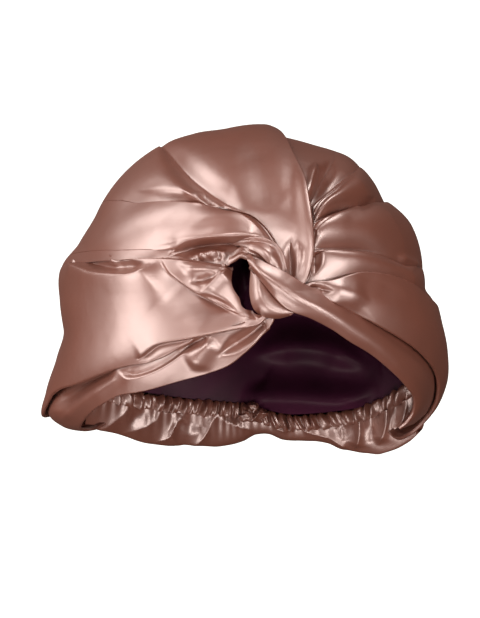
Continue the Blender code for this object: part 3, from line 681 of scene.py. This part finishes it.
def band(rows, count, across):
    """Strap of cloth drawn on the picture. Each row is one place along it: x and y of its two
    edges, then its heights in millimetres at even steps from the one edge to the other."""
    run = spline(rows, count)
    t = np.linspace(0, 1, across)[:, None, None]
    view = run[:, 0:2] + (run[:, 2:4] - run[:, 0:2]) * t
    height = spline(run[:, 4:].T, across)
    for _ in range(across // 3):
        height[1:-1] = (height[:-2] + 2 * height[1:-1] + height[2:]) / 4
    return behind(view, height)


def rolled(points, radius, under):
    """Folds the first and the last row of a grid inwards, as one hem along each edge."""
    return hem(hem(points, radius, under)[::-1], radius, under)[::-1]


strap = grid_mesh("rim_strap_satin", rolled(band(STRAP, 300, 48), 1.0, 4))
cloth(strap, rose_satin, "rim_strap", "rose_satin")
loop = grid_mesh("twist_loop_satin", rolled(band(LOOP, 120, 40), 0.6, 3))
cloth(loop, rose_satin, "twist_loop", "rose_satin")
throat = grid_mesh("twist_throat_satin", rolled(band(THROAT, 120, 30), 0.5, 4))
cloth(throat, rose_satin, "twist_loop", "rose_satin")
petal = grid_mesh("twist_petal_satin", rolled(band(PETAL, 120, 48), 0.9, 4))
cloth(petal, rose_satin, "twist_petal", "rose_satin")


# ---- Back bag ----
# The full back of the wrap: one loose sheet of charmeuse, gathered onto the casing, so that it
# puffs out under it in uneven drapes. PUFFS is how far it hangs, by the place along the casing.
casing_height, casing_left, casing_right = 8.5, -89.0, 102.0
casing_back, casing_curve, casing_sag = 64.0, 40.0, 10.0
bag_tuck, bag_level = 5.0, -3.25 * layer
bag_drop = 13.0
PUFFS = (
    (0, 0.31), (0.05, 0.72), (0.12, 0.95), (0.18, 1.15), (0.24, 1.06), (0.29, 0.8), (0.37, 0.74),
    (0.42, 0.46), (0.46, 0.05), (0.5, -0.7), (0.54, -1.0), (0.58, -0.83), (0.62, -0.85),
    (0.67, -0.75), (0.71, -0.45), (0.75, 0.15), (0.79, 0.55), (0.83, 0.95), (0.87, 1.4),
    (0.91, 1.5), (0.95, 1.4), (1, 1.0))
BAG_FOLDS = (
    (((132, 401), (125, 412), (115, 421), (103, 429), (88, 432)), 1.8, 9, 6, 1.2, (0.1, 0.3)),
    (((164, 406), (155, 420), (141, 428), (120, 434)), 1.8, 9, 6, 1.2, (0.1, 0.3)),
    (((184, 415), (174, 427), (168, 437), (153, 443)), 2.0, 6, 5, 1.0, (0.1, 0.3)),
    (((178, 420), (172, 433), (176, 442), (185, 446), (195, 445), (203, 438), (209, 428),
     (212, 420), (218, 408)), 2.0, 4, 5, 1.2, (0.15, 0.1)),
    (((194, 412), (192, 424), (190, 436)), -3.0, 12, 12, 2.0, (0.1, 0.5)),
    (((216, 412), (224, 420), (240, 426), (258, 432)), 2.0, 5, 5, 1.0, (0.1, 0.3)),
    (((226, 405), (232, 414), (244, 420)), -2.5, 7, 7, 2.0),
    (((145, 404), (138, 416), (126, 425)), -2.0, 7, 7, 2.0),
    (((270, 425), (282, 430), (296, 429)), 1.6, 3, 3, 1.2),
    (((298, 429), (321, 435), (331, 438), (340, 444), (350, 449)), 2.2, 5, 6, 1.0, (0.1, 0.2)),
    (((341, 408), (343, 424), (346, 442)), -3.5, 8, 8, 2.0, (0.1, 0.4)),
    (((358, 404), (359.5, 430), (355, 450)), 3.4, 6, 6, 1.2, (0.1, 0.2)),
    (((372, 400), (371, 424), (368, 444)), -4.0, 8, 8, 2.0, (0.1, 0.4)),
    (((386, 394), (386, 420), (378, 446)), 3.6, 6, 6, 1.2, (0.1, 0.2)),
    (((396, 388), (395, 410), (388, 432)), -3.0, 6, 6, 2.0, (0.1, 0.4)),
    (((404, 386), (405, 408), (396, 432)), 3.0, 5, 6, 1.2, (0.1, 0.3)))


def casing_line(place):
    """Middle line of the nape casing, from its left end to its right end."""
    half = 0.5 * (casing_right - casing_left)
    x = casing_left + 2 * half * place
    y = casing_back - casing_curve * np.abs((x - casing_left) / half - 1) ** 2.4
    sag = smooth(((0, 1), (0.15, 0.3), (0.3, -0.1), (0.45, -0.35), (0.62, -1.1), (0.8, -0.65),
                  (0.9, 0.2), (1, 1.4)), place) * casing_sag
    return np.stack([x, y, sag], -1)


def pleats(place):
    """How many of the casing's folds come before a place along it. They are spaced unevenly."""
    return 38 * place + 0.5 * np.sin(11 * place + 1) + 0.22 * np.sin(29 * place)


def casing_edge(place, side):
    """Line just past the casing's upper or lower edge, with more room at its steep ends."""
    line = casing_line(place)
    line[:, 2] += side * (casing_height / 2 + 0.45 * (1.8 + 3 * np.abs(2 * place - 1) ** 4))
    return line


def roll(shares, start, toward, leave, arrive, end):
    """Grid that leaves a start line away from the line before it and rolls round to its end."""
    lean = unit(start - toward) * leave[:, None]
    t = shares[:, None, None]
    return ((2 * t**3 - 3 * t**2 + 1) * start + (t**3 - 2 * t**2 + t) * lean
            + (3 * t**2 - 2 * t**3) * end + (t**3 - t**2) * arrive)


# The sheet starts under the panels' back edges, all the way round from the left end of the
# casing over the crown to its right end, and rolls round the back of the head to the casing.
places = np.linspace(0, 1, 420)
top = np.sin(np.pi * places)
turns = np.linspace(214, -46, 420)
tucked = dome(turns, seam_out - bag_tuck, bag_level)
before = dome(turns, seam_out - bag_tuck - 1, bag_level)
along = np.concatenate([np.linspace(0, 0.7, 50)[:-1], np.linspace(0.7, 1, 110)])
leave = (0.54 + 3.7 * top) * back_depth
arrive = np.array([0, -0.25, 1.0]) * (0.62 + 1.15 * top)[:, None] * half_width
bag = roll(along, tucked, before, leave, arrive, casing_edge(places, -1) + (0, 1.5, 2.5))
# It is let out from its own middle: nine soft waves behind the seam, and fullness below them.
middle = np.array([0, 0.18 * back_depth, 0.48 * half_width])
gather = np.exp(-((along - 0.2) / 0.13) ** 2)[:, None] * np.cos(2 * np.pi * 9 * places)
clear = np.clip(along[:, None] * leave / (5.5 * layer) - 0.8, 0, 1)
full = 1 + 0.045 * clear * np.sqrt(1 - along)[:, None] + 0.01 * gather
bag = middle + (bag - middle) * full[..., None]
swell = 1.6 * np.clip(along * 8, 0, 1) * np.clip(8 - 8 * along, 0, 1)
swell = swell + 3.2 * np.exp(-(along / 0.06) ** 2)
bag = bag + unit(bag - middle) * swell[:, None, None]
# Its lower part hangs down in two lobes.
hang = (np.clip((along - 0.45) / 0.4, 0, 1) * np.sin(np.pi * along) ** 0.5)[:, None]
drop = hang * smooth(PUFFS, places) * bag_drop
bag[..., 2] -= drop
bag[..., 1] += 0.3 * drop
view = seen(bag)
# The drapes run only over the part in front of the casing, which the camera sees from inside.
inner = np.clip((along - 0.72) / 0.06, 0, 1)[:, None]
drape = inner * folds(view, BAG_FOLDS)
gather = np.sin(np.pi * pleats(places)) ** 2
drape = drape + 0.8 * np.exp(-np.clip((1 - along) / 0.04, 0, 9))[:, None] * gather
bag[..., 1] -= drape
bag[..., 2] -= 0.25 * drape
back_bag = grid_mesh("back_bag_satin", bag)
cloth(back_bag, rose_satin, "back_bag", "rose_satin", rests=("lining", "nape_casing"))


# ---- Lining ----
# The dark aubergine lining, a thinner and duller satin that follows the outer panels and is
# sewn to the casing at the nape. It hangs back from the hole beside the twist, which is dark,
# and from the V below it. Its sides are given as out and turn.
LINING_LEFT = (
    (6, 268), (11, 249), (17, 241), (22, 237), (27, 230), (33, 222), (39, 217), (45, 213),
    (57, 211), (73, 208), (110, 203))
LINING_RIGHT = (
    (6, -76), (10, -45), (14, -35), (30, -31), (52, -33), (68, -34), (80, -32), (110, -24))
LINING_HANGS = (
    (((236, 252), (242, 268), (246, 288), (254, 312)), 26.0, 22, 22, 2.0, (0.2, 0.2)),
    (((188, 288), (204, 297), (222, 305), (240, 314)), 12.0, 14, 14, 2.0, (0.2, 0.2)))
LINING_FOLDS = (
    (((246, 356), (290, 346), (330, 350), (372, 372)), 9.0, 16, 14, 2.0, (0.3, 0.3)),
    (((246, 384), (262, 396), (300, 398), (345, 400), (384, 384)), 9.0, 16, 14, 2.0, (0.3, 0.3)),
    (((150, 372), (185, 352), (232, 350)), 8.0, 12, 12, 2.0, (0.3, 0.3)))
side = np.linspace(0, 1, 220)
outs = np.linspace(7, 100, 130)[:, None]
left, right = smooth(LINING_LEFT, outs), smooth(LINING_RIGHT, outs)
shape = dome(left + (right - left) * side, outs, -5.3 * layer)
swell = np.sin(np.pi * side)
rear = roll(np.linspace(0, 1, 110), shape[-1], shape[-2], (0.27 + 2.15 * swell) * back_depth,
            np.array([0, 0.1, -1.0]) * (0.18 + 1.33 * swell)[:, None] * half_width,
            casing_edge(side, 1))
shape = np.concatenate([shape, rear[1:]])
heart = np.array([0.0, 0.0, 55.0])
slack = 1 + 0.022 * wavy(side * 9, np.linspace(0, 5, len(shape))[:, None], 3.0)
shape = heart + (shape - heart) * slack[..., None]
view = seen(shape)
deep = np.clip(shape[..., 1] / 20, 0, 1)
for hang in LINING_HANGS:
    shape[..., 1] += np.clip(-shape[..., 1] / 20, 0, 1) * fold(view, *hang)
shape[..., 1] -= deep * folds(view, LINING_FOLDS)
lining = grid_mesh("lining_satin", shape)
dark_satin = satin("dark aubergine lining satin", "#40182B", "#1E0914", 0.08, 0.03)
cloth(lining, dark_satin, "lining", "lining_satin", rests=("crossing_panel",))


# ---- Nape casing ----
# A tunnel of the same satin with the elastic in it. Relaxed elastic gathers it into some forty
# upright folds with a small frill on both edges.
fine = np.linspace(0, 1, 1500)
line = casing_line(fine)
run = np.gradient(line, axis=0)
inward = unit(np.stack([run[:, 1], -run[:, 0], 0 * fine], -1))
high = np.linspace(-1, 1, 36)[:, None]
phase = np.pi * (pleats(fine) + 0.08 * np.sin(83 * fine) + 0.3 * np.sin(9 * fine + 2) * high)
swing = 0.8 + 0.25 * np.sin(53 * fine + 2) + 0.2 * np.sin(97 * fine)
pleat = np.abs(np.sin(phase)) * swing + 0.15 * np.sin(3.1 * phase + 2 * high + 1)
casing = line + inward * ((1 - high**2) * 1.4 - 1.2 + pleat * (4.0 - 1.5 * high**4))[..., None]
frill = np.sign(high) * high**4 * (1.4 * pleat - 0.8)
casing[..., 2] += high * (casing_height / 2 + 0.4) + frill
nape = grid_mesh("nape_casing_satin", casing[::-1])
cloth(nape, rose_satin, "nape_casing", "rose_satin", rests=("back_bag",))


# ---- Tuft ----
# The end of the gathering thread's loop of cloth, drawn up into a small crumpled rosette and
# tacked to the middle of the casing.
TUFT_FOLDS = (
    (((249, 424), (256, 416), (264, 406)), 3.2, 2.6, 2.6, 1.6, (0.1, 0.1)),
    (((243, 410), (249, 413), (252, 419)), 2.4, 2, 2, 1.5),
    (((247, 406), (254, 405), (258, 409)), 2.2, 2, 2, 1.5),
    (((261, 415), (267, 413), (271, 416)), 2.2, 2, 2, 1.5),
    (((258, 419), (264, 420)), 1.6, 2, 2))
tuft_radius, tuft_out = 7.2, 7.0
ring = np.linspace(0.03, 1, 60)[:, None]
spin = np.linspace(0, 2 * np.pi, 220, endpoint=False)
wide = tuft_radius * ring * (1 + 0.12 * np.cos(3 * spin + 1) + 0.08 * np.cos(5 * spin)
                     + 0.05 * np.cos(11 * spin))
seat = casing_line(np.array(0.49))
tuft = np.stack([seat[0] + 1.1 * wide * np.cos(spin), seat[1] - tuft_out + 0 * wide,
                 seat[2] + 0.5 + 0.85 * wide * np.sin(spin)], -1)
view = seen(tuft)
knob = (folds(view, TUFT_FOLDS) - 3.5 * ring[:, 0:1] ** 4) * 1.25
tuft[..., 1] -= knob + 0.5 * wavy(ring * 9, 4 * np.cos(spin) + 3 * np.sin(spin), 6.0)
tuft = grid_mesh("casing_tuft_satin", tuft, closed=True)
cloth(tuft, rose_satin, "casing_tuft", "rose_satin", rests=("nape_casing_satin",))
